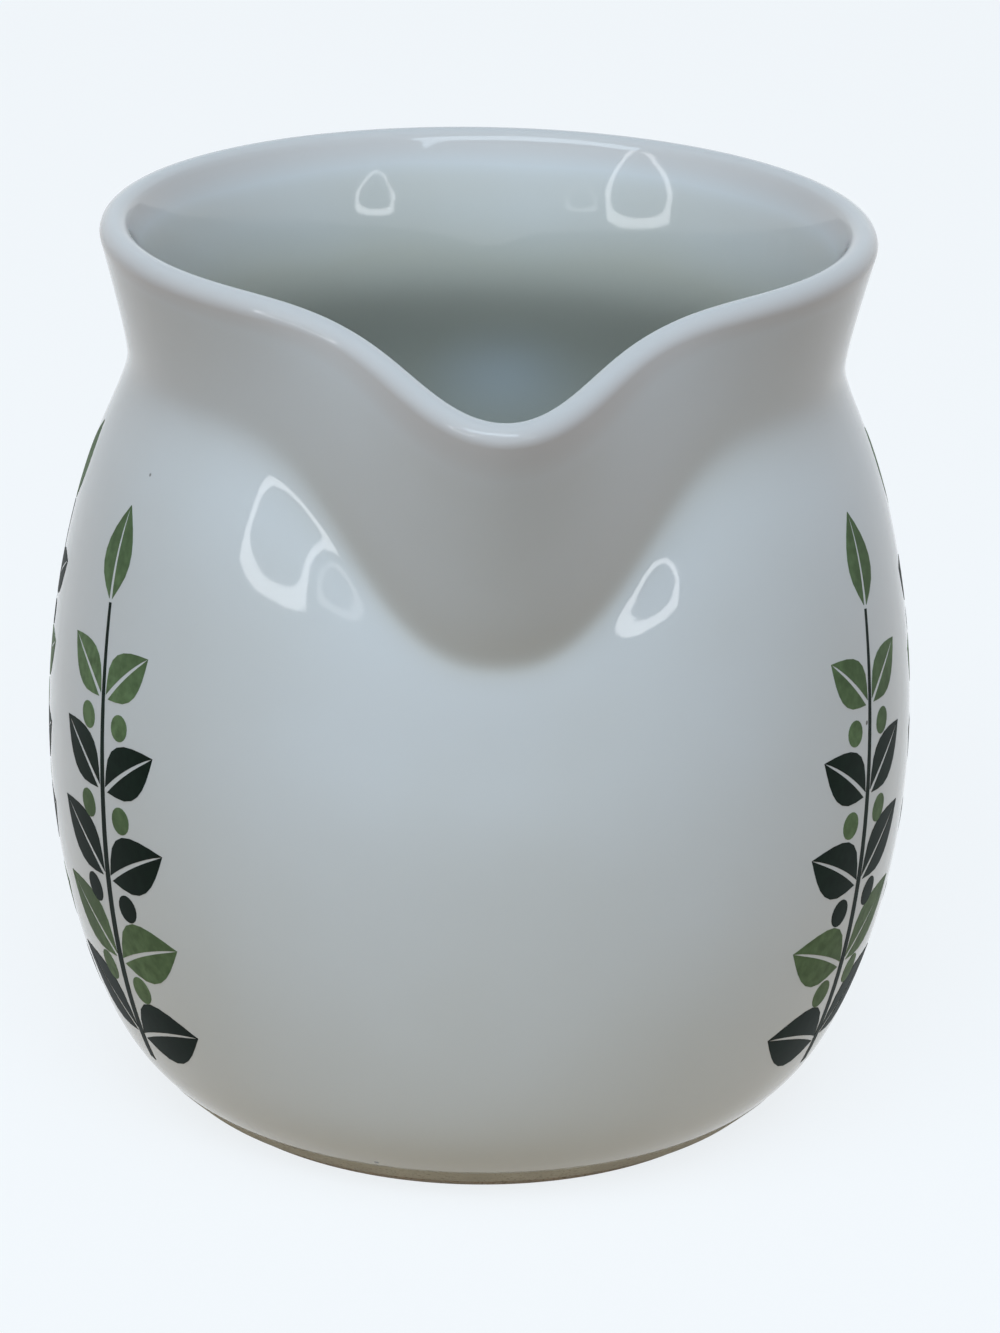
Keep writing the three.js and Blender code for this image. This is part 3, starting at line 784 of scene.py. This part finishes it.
class PITCHER_OT_handle(bpy.types.Operator):
    """Build the strap handle with the slip that blends its two roots into the body"""

    bl_idname = "pitcher.handle"
    bl_label = "Handle"

    def execute(self, context):
        """Carries an oval along a natural spline in the plane of the spout, and blends its two ends out.

        Each root runs on cubic curves, which leave along the strap and meet a wider oval on the wall along
        the wall's face. Past that oval it sinks into the wall.
        """
        sizes = context.scene.pitcher_handle
        wall = Wall(context.scene.pitcher_body)
        line, upper_share, lower_share = self.middle_line(sizes, wall)
        knots, total = chord_knots(line)
        first = knots[1] + sizes.blend / total
        last = knots[-2] - sizes.blend / total
        shares = np.linspace(first, last, STRAP_ROWS)
        middle = spline_weights(knots, shares) @ line
        ahead = spline_weights(knots, shares + NUDGE) @ line
        along = unit(ahead - spline_weights(knots, shares - NUDGE) @ line)
        across = np.stack([-along[:, 1], along[:, 0]], -1)
        turn = np.linspace(0, 2 * math.pi, STRAP_COLUMNS, endpoint=False)[:, None]
        offset = across[None] * (np.sin(turn) * sizes.thickness / 2)[..., None]
        sideways = np.broadcast_to(np.cos(turn) * sizes.width / 2, offset.shape[:2])
        section = middle[None] + offset
        strap = np.stack([sideways, AXIS_Y + section[..., 0], section[..., 1]], -1)

        upper, upper_pole = self.root(wall, sizes, strap[:, 0], -along[0], upper_share, turn, 1)
        lower, lower_pole = self.root(wall, sizes, strap[:, -1], along[-1], lower_share, turn, -1)
        grid = np.concatenate([upper[:, ::-1], strap, lower], axis=1)
        vertices = np.concatenate([grid.reshape(-1, 3), upper_pole[None], lower_pole[None]])
        faces = [face[::-1] for face in tube_faces(STRAP_COLUMNS, grid.shape[1])]
        glaze = white_glaze(context.scene.pitcher_colours)
        stands_for = ["handle", "upper_lute", "lower_lute"]
        piece = make_piece("strap_handle", vertices, faces, glaze, stands_for)

        flow_and_shade = context.scene.pitcher_flow
        root_rows = upper.shape[1]
        lie = np.zeros(grid.shape[:2])
        lie[:, :root_rows] = np.linspace(flow_and_shade.root_pool, 0, root_rows)
        lie[:, -root_rows:] = np.linspace(0, flow_and_shade.root_pool, root_rows)
        lie[:, root_rows:-root_rows] = -flow_and_shade.strap_edge * np.abs(np.cos(turn)) ** STEEP
        write_glaze_and_shade(piece, lie, [0, 0])
        return {"FINISHED"}

    @staticmethod
    def middle_line(sizes, wall):
        """The strap's middle line, and the wall's shares at its two roots.

        A point of the line is a distance from the axis and a height.
        """
        upper_height = wall.plain[NECK, 1] - sizes.upper_root_drop
        lower_height = wall.plain[BELLY, 1] - sizes.lower_root_drop
        upper, lower = wall.radius_at(upper_height), wall.radius_at(lower_height)
        reach = wall.sizes.belly_radius + sizes.reach - sizes.thickness / 2
        line = np.array([
            (upper - sizes.root_depth, upper_height - sizes.loop_rise),
            (upper, upper_height),
            ((upper + reach) / 2, upper_height + sizes.loop_rise),
            (reach - sizes.loop_corner, upper_height - sizes.loop_corner),
            (reach, upper_height - sizes.loop_widest_drop),
            (reach - sizes.loop_tail_inset, lower_height + sizes.loop_tail_rise),
            (lower, lower_height),
            (lower - sizes.root_depth, lower_height - sizes.loop_rise / 2),
        ])
        return line, wall.share_at(upper_height), wall.share_at(lower_height)

    @staticmethod
    def on_wall(wall, sizes, share, turn, upward, flare):
        """The oval where a root meets the wall, spread by a flare, with its normals."""
        radius = wall.radius_at(np.interp(share, wall.fine_shares, wall.fine[:, 1]))
        aside = np.cos(turn[:, 0]) * (sizes.width / 2 + flare)
        rise = upward * np.sin(turn[:, 0]) * (sizes.thickness / 2 + flare)
        point, normal, _ = wall.frame(math.pi - aside / radius, share + rise / wall.meridian)
        return point, normal

    def root(self, wall, sizes, strap_end, towards_wall, share, turn, upward):
        """Rows from the strap's end to the wall, by cubic curves, one more sunk into it, and its middle."""
        foot, normal = self.on_wall(wall, sizes, share, turn, upward, sizes.flare)
        beyond, _ = self.on_wall(wall, sizes, share, turn, upward, sizes.flare + NUDGE)
        spread = unit(beyond - foot)[:, None]
        leave = np.array([0, *towards_wall])
        way = (np.arange(1, ROOT_ROWS + 1) / ROOT_ROWS)[None, :, None]
        pull = sizes.blend_pull * sizes.blend
        rows = ((2 * way ** 3 - 3 * way ** 2 + 1) * strap_end[:, None]
                + (way ** 3 - 2 * way ** 2 + way) * leave * pull
                + (3 * way ** 2 - 2 * way ** 3) * foot[:, None]
                + (way ** 3 - way ** 2) * spread * pull)
        sunk = foot - normal * sizes.sink
        return np.concatenate([rows, sunk[:, None]], axis=1), sunk.mean(axis=0)


# Sprigs on each side, flat on a sheet in millimetres: across from the middle of the side, towards the back,
# and up along the wall from the base. A stem bends from its root towards a corner and on to its tip.
SPRIGS = (
    {"root": (-33, 13), "bend": (-38, 50), "tip": (-32, 86), "pairs": 5},
    {"root": (0, 9), "bend": (4, 50), "tip": (-1, 92), "pairs": 6},
    {"root": (33, 13), "bend": (38, 50), "tip": (32, 86), "pairs": 5},
)


def leaf_halves(sizes, size):
    """The two halves of a leaf along the first axis, as patches from the bare rib out to the edge.

    Along the way, from 0 at the base to 1 at the tip, the edge swells as 4 way (1 - way), skewed towards
    the base, the rib narrows as the root of 1 - way, and the whole leaf bows aside as way squared.
    """
    way = np.linspace(0, 1, LEAF_POINTS)[:, None]
    out = np.linspace(0, 1, HALF_LEAF_POINTS)[None]
    swell = 4 * way * (1 - way) * (1 + sizes.leaf_skew * (0.5 - way))
    rib = sizes.rib_width / 2 * np.sqrt(1 - way)
    edge = np.maximum(size * sizes.leaf_width / 2 * swell, rib + sizes.leaf_edge)
    bow = sizes.leaf_bow * size * way ** 2
    halves = []
    for hand in (1, -1):
        y = hand * blend(rib, edge, out) + bow
        x = np.broadcast_to(way * size, y.shape)
        halves.append(np.stack([x, y], -1)[:, ::-hand])
    return halves


def berry(sizes):
    """An oval patch from a square grid: each side of the square bulges out to the circle."""
    aside, along = np.meshgrid(np.linspace(1, -1, BERRY_POINTS), np.linspace(-1, 1, BERRY_POINTS))
    x = along * np.sqrt(1 - aside ** 2 / 2) * sizes.berry_length / 2 + sizes.berry_length / 2
    y = aside * np.sqrt(1 - along ** 2 / 2) * sizes.berry_width / 2
    return np.stack([x, y], -1)


def grown(patch, hand, place, ahead, lean, clear):
    """A patch mirrored to one side of a stem, leaned off the stem's direction and moved clear of it."""
    patch = (patch * [1, hand])[:, ::hand]
    turn = math.atan2(ahead[1], ahead[0]) + hand * lean
    along = np.array([math.cos(turn), math.sin(turn)])
    aside = np.array([-along[1], along[0]])
    return place + along * clear + patch[..., :1] * along + patch[..., 1:] * aside


def draw_sprig(sizes, sprig, patches):
    """Adds a sprig's patches to those of each ink: a stem, pairs of leaves, berries and a last leaf.

    The stem is a quadratic curve. Leaves shrink and close towards its tip, and berries grow over each pair
    but the last. Every third pair is green with dark berries, and the others are dark with green ones.
    """
    root, bend, tip = (np.array(sprig[key], float) * MM for key in ("root", "bend", "tip"))

    def stem_at(share):
        """Places on the stem and its directions there."""
        way = np.asarray(share)[..., None]
        place = (1 - way) ** 2 * root + 2 * way * (1 - way) * bend + way ** 2 * tip
        return place, unit(2 * (1 - way) * (bend - root) + 2 * way * (tip - bend))

    shares = np.linspace(0, sizes.stem_end, STEM_POINTS)
    place, ahead = stem_at(shares)
    aside = np.stack([-ahead[:, 1], ahead[:, 0]], -1)
    half = (sizes.stem_width / 2 * (1 - sizes.stem_thinning * shares))[:, None]
    patches["print_dark"].append(np.stack([place + aside * half, place - aside * half], axis=1))
    clear = sizes.stem_width / 2 + sizes.stalk_gap
    step = sizes.pair_span / sprig["pairs"]
    for pair in range(sprig["pairs"]):
        share = sizes.first_pair + step * pair
        leaf_ink, berry_ink = "print_dark", "print_green"
        if pair % 3 == 1:
            leaf_ink, berry_ink = berry_ink, leaf_ink
        size = sizes.leaf_length * (1 - sizes.leaf_taper * share)
        lean = sizes.leaf_lean - sizes.leaf_closing * share
        for hand in (1, -1):
            for half_leaf in leaf_halves(sizes, size):
                patches[leaf_ink].append(grown(half_leaf, hand, *stem_at(share), lean, clear))
            if pair + 1 < sprig["pairs"]:
                fruit = berry(sizes) * (1 - sizes.berry_taper * share)
                over = stem_at(share + sizes.berry_step * step)
                gap = sizes.berry_gap * clear
                patches[berry_ink].append(grown(fruit, hand, *over, sizes.berry_lean, gap))
    for half_leaf in leaf_halves(sizes, sizes.last_leaf * sizes.leaf_length):
        patches["print_green"].append(grown(half_leaf, 1, *stem_at(sizes.stem_end), 0.0, sizes.stalk_gap))


def film_shell(wall, sizes, patch, hand):
    """Vertices and faces of a closed film: the patch wrapped on the wall, lifted and sunk along normals."""
    if hand > 0:
        patch = patch[:, ::-1]
    azimuth = hand * (math.pi / 2 + patch[..., 0] / wall.sizes.belly_radius)
    point, normal, _ = wall.frame(azimuth, patch[..., 1] / wall.meridian)
    top = point + normal * sizes.film
    bottom = point - normal * sizes.film_depth
    rows, columns = patch.shape[:2]
    below = rows * columns
    index = np.arange(below).reshape(rows, columns)
    quads = np.stack([index[:-1, :-1], index[:-1, 1:], index[1:, 1:], index[1:, :-1]], -1).reshape(-1, 4)
    border = np.concatenate([index[0, :-1], index[:-1, -1], index[-1, :0:-1], index[:0:-1, 0]])
    following = np.roll(border, -1)
    sides = np.stack([following, border, border + below, following + below], -1)
    faces = np.concatenate([quads, quads[:, ::-1] + below, sides])
    return np.concatenate([top.reshape(-1, 3), bottom.reshape(-1, 3)]), faces


def joined(shells):
    """One array of vertices and one list of faces from many shells."""
    starts = np.cumsum([0] + [len(vertices) for vertices, _ in shells])
    faces = np.concatenate([faces + start for (_, faces), start in zip(shells, starts)])
    return np.concatenate([vertices for vertices, _ in shells]), faces.tolist()


class PITCHER_OT_sprigs(bpy.types.Operator):
    """Print sprigs of leaves and berries on both sides of the body"""

    bl_idname = "pitcher.sprigs"
    bl_label = "Printed sprigs"

    def execute(self, context):
        """Wraps each shape, a patch on a flat sheet, round the wall, and gives it the film's thickness."""
        sizes = context.scene.pitcher_print
        colours = context.scene.pitcher_colours
        wall = Wall(context.scene.pitcher_body)
        inks = {
            "print_dark": onglaze_enamel("dark_onglaze_enamel", colours.print_dark),
            "print_green": onglaze_enamel("green_onglaze_enamel", colours.print_green),
        }
        patches = {slot: [] for slot in inks}
        for sprig in SPRIGS:
            draw_sprig(sizes, sprig, patches)
        for side, hand in (("right", 1), ("left", -1)):
            for slot, ink in inks.items():
                vertices, faces = joined([film_shell(wall, sizes, patch, hand) for patch in patches[slot]])
                make_piece(f"{slot}_{side}", vertices, faces, ink)
        return {"FINISHED"}


# Lamps that show in the glaze, aimed at the belly: name, azimuth and elevation in degrees, width and height
# in metres, watts, and whether it shines as a ring. The even window draws a bright line along the rim.
LAMPS = (
    ("left_lamp", -57.5, 24.3, 0.43, 0.49, 3.1, True),
    ("right_lamp", 40, 21, 0.25, 0.29, 1.2, True),
    ("far_lamp", -36, 21, 0.19, 0.21, 0.2, True),
    ("window_lamp", -17, 50, 1.2, 0.24, 3.6, False),
)
LAMP_DISTANCE = 1.0
LAMP_AIM = 80 * MM

# Ring lamps, as shares of a lamp's width and height: the ring narrows to its top and is heavier below
RING_RADIUS = 0.44
RING_HALF_WIDTH = 0.045
RING_LOWER_WEIGHT = 0.05
RING_TAPER = 1.0


def towards(azimuth, elevation):
    """The direction of an azimuth, 0 in front of the spout, and an elevation above the horizon."""
    level = math.cos(elevation)
    return Vector((level * math.sin(azimuth), -level * math.cos(azimuth), math.sin(elevation)))


def seen_plainly(tree):
    """1 for rays that show the background itself, to the camera, in a gloss or through glass, else 0."""
    path = add(tree, "LightPath").outputs
    seen = add(tree, "Math", {0: path["Is Camera Ray"], 1: path["Is Glossy Ray"]}, operation="MAXIMUM")
    return add(tree, "Math", {0: seen, 1: path["Is Transmission Ray"]}, operation="MAXIMUM")


class PITCHER_OT_stage(bpy.types.Operator):
    """Set the floor, the soft light, the lamps and the camera"""

    bl_idname = "pitcher.stage"
    bl_label = "Stage"

    def execute(self, context):
        """A wide pale floor, a dome of soft light, lamps that show in the glaze, and the camera."""
        settings = context.scene.pitcher_stage
        colours = context.scene.pitcher_colours
        self.floor(context, settings, colours)
        self.dome(context, settings, colours)
        for lamp in LAMPS:
            self.lamp(context, colours, *lamp)
        self.camera(context, settings)
        context.scene.view_settings.view_transform = "Standard"
        return {"FINISHED"}

    @staticmethod
    def floor(context, settings, colours):
        """A square of matt card, pale to the eye, that throws light back like a table in a dim room."""
        half = settings.floor_half
        mesh = bpy.data.meshes.new("floor")
        corners = [(-half, -half, 0), (half, -half, 0), (half, half, 0), (-half, half, 0)]
        mesh.from_pydata(corners, [], [(0, 1, 2, 3)])
        floor = bpy.data.objects.new("floor", mesh)
        context.scene.collection.objects.link(floor)
        material = bpy.data.materials.new("matt_white_card")
        mesh.materials.append(material)
        tree = empty_tree(material)
        place = add(tree, "TexCoord").outputs["Object"]
        away = add(tree, "VectorMath", {0: place, 1: (0.0, AXIS_Y, 0.0)}, operation="DISTANCE")
        beyond = add(tree, "MapRange", {"Value": away, "From Min": settings.table_radius,
                                        "From Max": settings.table_radius + settings.table_edge})
        bounce = add(tree, "Mix", {"Factor": beyond, "A": opaque(colours.table),
                                   "B": opaque(colours.room)}, data_type="RGBA")
        seen = seen_plainly(tree)
        tone = add(tree, "Mix", {"Factor": seen, "A": bounce, "B": opaque(colours.background)},
                   data_type="RGBA")
        shader = add(tree, "BsdfPrincipled", {"Base Color": tone, "Roughness": 0.9,
                                              "Specular IOR Level": 0.0})
        glow = add(tree, "Emission", {"Color": opaque(colours.background),
                                      "Strength": settings.floor_paleness})
        share = add(tree, "Math", {0: seen, 1: settings.floor_glow}, operation="MULTIPLY")
        mixed = add(tree, "MixShader", {0: share, 1: shader, 2: glow})
        add(tree, "OutputMaterial", {"Surface": mixed})

    @staticmethod
    def dome(context, settings, colours):
        """World light: a soft hill round each of two directions, and a dim warm band above the horizon."""
        world = bpy.data.worlds.new("studio_dome")
        context.scene.world = world
        tree = empty_tree(world)
        direction = add(tree, "TexCoord").outputs["Generated"]
        hills = []
        for name in ("key", "fill"):
            azimuth, elevation, spread, level = (getattr(settings, f"{name}_{part}")
                                                 for part in ("azimuth", "elevation", "spread", "level"))
            close = add(tree, "VectorMath", {0: direction, 1: towards(azimuth, elevation)},
                        operation="DOT_PRODUCT")
            hill = {"Value": close, "From Min": math.cos(spread), "From Max": 1.0, "To Max": level}
            hills.append(add(tree, "MapRange", hill, interpolation_type="SMOOTHSTEP"))
        high = add(tree, "Math", {0: hills[0], 1: hills[1]}, operation="ADD")
        height = add(tree, "SeparateXYZ", {"Vector": direction}).outputs["Z"]
        top = math.sin(settings.low_elevation)
        low = add(tree, "MapRange", {"Value": height, "From Min": (1 - settings.low_softness) * top,
                                     "From Max": (1 + settings.low_softness) * top,
                                     "To Min": settings.low_level, "To Max": 0.0},
                  interpolation_type="SMOOTHSTEP")
        above = add(tree, "Background", {"Color": opaque(colours.daylight), "Strength": high})
        below = add(tree, "Background", {"Color": opaque(colours.warm_light), "Strength": low})
        light = add(tree, "AddShader", {0: above, 1: below})
        pale = add(tree, "Background", {"Color": opaque(colours.background), "Strength": 1.0})
        mixed = add(tree, "MixShader", {0: seen_plainly(tree), 1: light, 2: pale})
        add(tree, "OutputWorld", {"Surface": mixed})

    @staticmethod
    def lamp(context, colours, name, azimuth, elevation, width, height, watts, ringed):
        """A lamp aimed at the belly, which shines evenly or only along a ring.

        With x and y from the lamp's middle, in shares of its size, the ring is where the length of
        (x (1 + taper y), y) is within a half width of the ring's radius. The half width falls with y.
        """
        away = towards(math.radians(azimuth), math.radians(elevation))
        light = bpy.data.lights.new(name, "AREA")
        light.shape = "RECTANGLE"
        light.size, light.size_y = width, height
        light.energy = watts
        light.color = colours.lamp_light if ringed else colours.daylight
        lamp = bpy.data.objects.new(name, light)
        lamp.location = Vector((0, AXIS_Y, LAMP_AIM)) + away * LAMP_DISTANCE
        lamp.rotation_euler = away.to_track_quat("Z", "Y").to_euler()
        context.scene.collection.objects.link(lamp)
        if not ringed:
            return
        tree = empty_tree(light)
        across = add(tree, "NewGeometry").outputs["Parametric"]
        centred = add(tree, "VectorMath", {0: across, 1: (0.5, 0.5, 0.0)}, operation="SUBTRACT")
        parts = add(tree, "SeparateXYZ", {"Vector": centred}).outputs
        x, y = parts["X"], parts["Y"]
        squeeze = add(tree, "Math", {0: y, 1: RING_TAPER, 2: 1.0}, operation="MULTIPLY_ADD")
        narrow = add(tree, "Math", {0: x, 1: squeeze}, operation="MULTIPLY")
        spot = add(tree, "CombineXYZ", {"X": narrow, "Y": y})
        radius = add(tree, "VectorMath", {0: spot}, operation="LENGTH")
        half = add(tree, "Math", {0: y, 1: -RING_LOWER_WEIGHT, 2: RING_HALF_WIDTH},
                   operation="MULTIPLY_ADD")
        on_ring = add(tree, "Math", {0: radius, 1: RING_RADIUS, 2: half}, operation="COMPARE")
        emission = add(tree, "Emission", {"Strength": on_ring})
        add(tree, "OutputLight", {"Surface": emission})

    @staticmethod
    def camera(context, settings):
        """The photograph's view: in front of the spout and above it, tipped down and a little aslant."""
        pitch, yaw, roll = settings.camera_pitch, settings.camera_yaw, settings.camera_roll
        forward = towards(math.pi - yaw, -pitch)
        level = Vector((math.cos(yaw), -math.sin(yaw), 0))
        raised = level.cross(forward)
        right = level * math.cos(roll) + raised * math.sin(roll)
        up = raised * math.cos(roll) - level * math.sin(roll)
        about = Matrix.Rotation(settings.camera_azimuth, 3, "Z")
        basis = about @ Matrix((right, up, -forward)).transposed()
        place = about @ Vector((0, -settings.camera_distance, settings.camera_height))
        lens = bpy.data.cameras.new("camera")
        lens.sensor_width = settings.camera_sensor
        lens.lens = settings.camera_lens
        camera = bpy.data.objects.new("camera", lens)
        camera.matrix_world = Matrix.Translation(place + Vector((0, AXIS_Y, 0))) @ basis.to_4x4()
        context.scene.collection.objects.link(camera)
        context.scene.camera = camera


class PITCHER_PT_panel(bpy.types.Panel):
    """Sizes, colours and build steps of the pitcher"""

    bl_idname = "PITCHER_PT_panel"
    bl_label = "Ceramic pitcher"
    bl_space_type = "VIEW_3D"
    bl_region_type = "UI"
    bl_category = "Pitcher"

    def draw(self, context):
        """Lists the operators, and under them the sizes and colours that they use."""
        layout = self.layout
        for operator in OPERATORS:
            layout.operator(operator.bl_idname)
        for name, kind in SETTINGS.items():
            box = layout.box()
            box.label(text=kind.__doc__)
            for setting in kind.__annotations__:
                box.prop(getattr(context.scene, name), setting)


SETTINGS = {
    "pitcher_body": BodySizes,
    "pitcher_handle": HandleSizes,
    "pitcher_print": PrintSizes,
    "pitcher_flow": GlazeFlowAndShade,
    "pitcher_colours": PitcherColours,
    "pitcher_stage": StageSettings,
}
OPERATORS = (PITCHER_OT_body, PITCHER_OT_foot, PITCHER_OT_handle, PITCHER_OT_sprigs, PITCHER_OT_stage)
CLASSES = (*SETTINGS.values(), *OPERATORS, PITCHER_PT_panel)


def register():
    """Registers the classes, and hangs the settings on the scene."""
    for kind in CLASSES:
        bpy.utils.register_class(kind)
    for name, kind in SETTINGS.items():
        setattr(bpy.types.Scene, name, PointerProperty(type=kind))


def unregister():
    """Takes the settings off the scene, and removes the classes."""
    for name in SETTINGS:
        delattr(bpy.types.Scene, name)
    for kind in reversed(CLASSES):
        bpy.utils.unregister_class(kind)


def main():
    register()
    bpy.ops.pitcher.body()
    bpy.ops.pitcher.foot()
    bpy.ops.pitcher.handle()
    bpy.ops.pitcher.sprigs()
    bpy.ops.pitcher.stage()


if __name__ == "__main__":
    main()
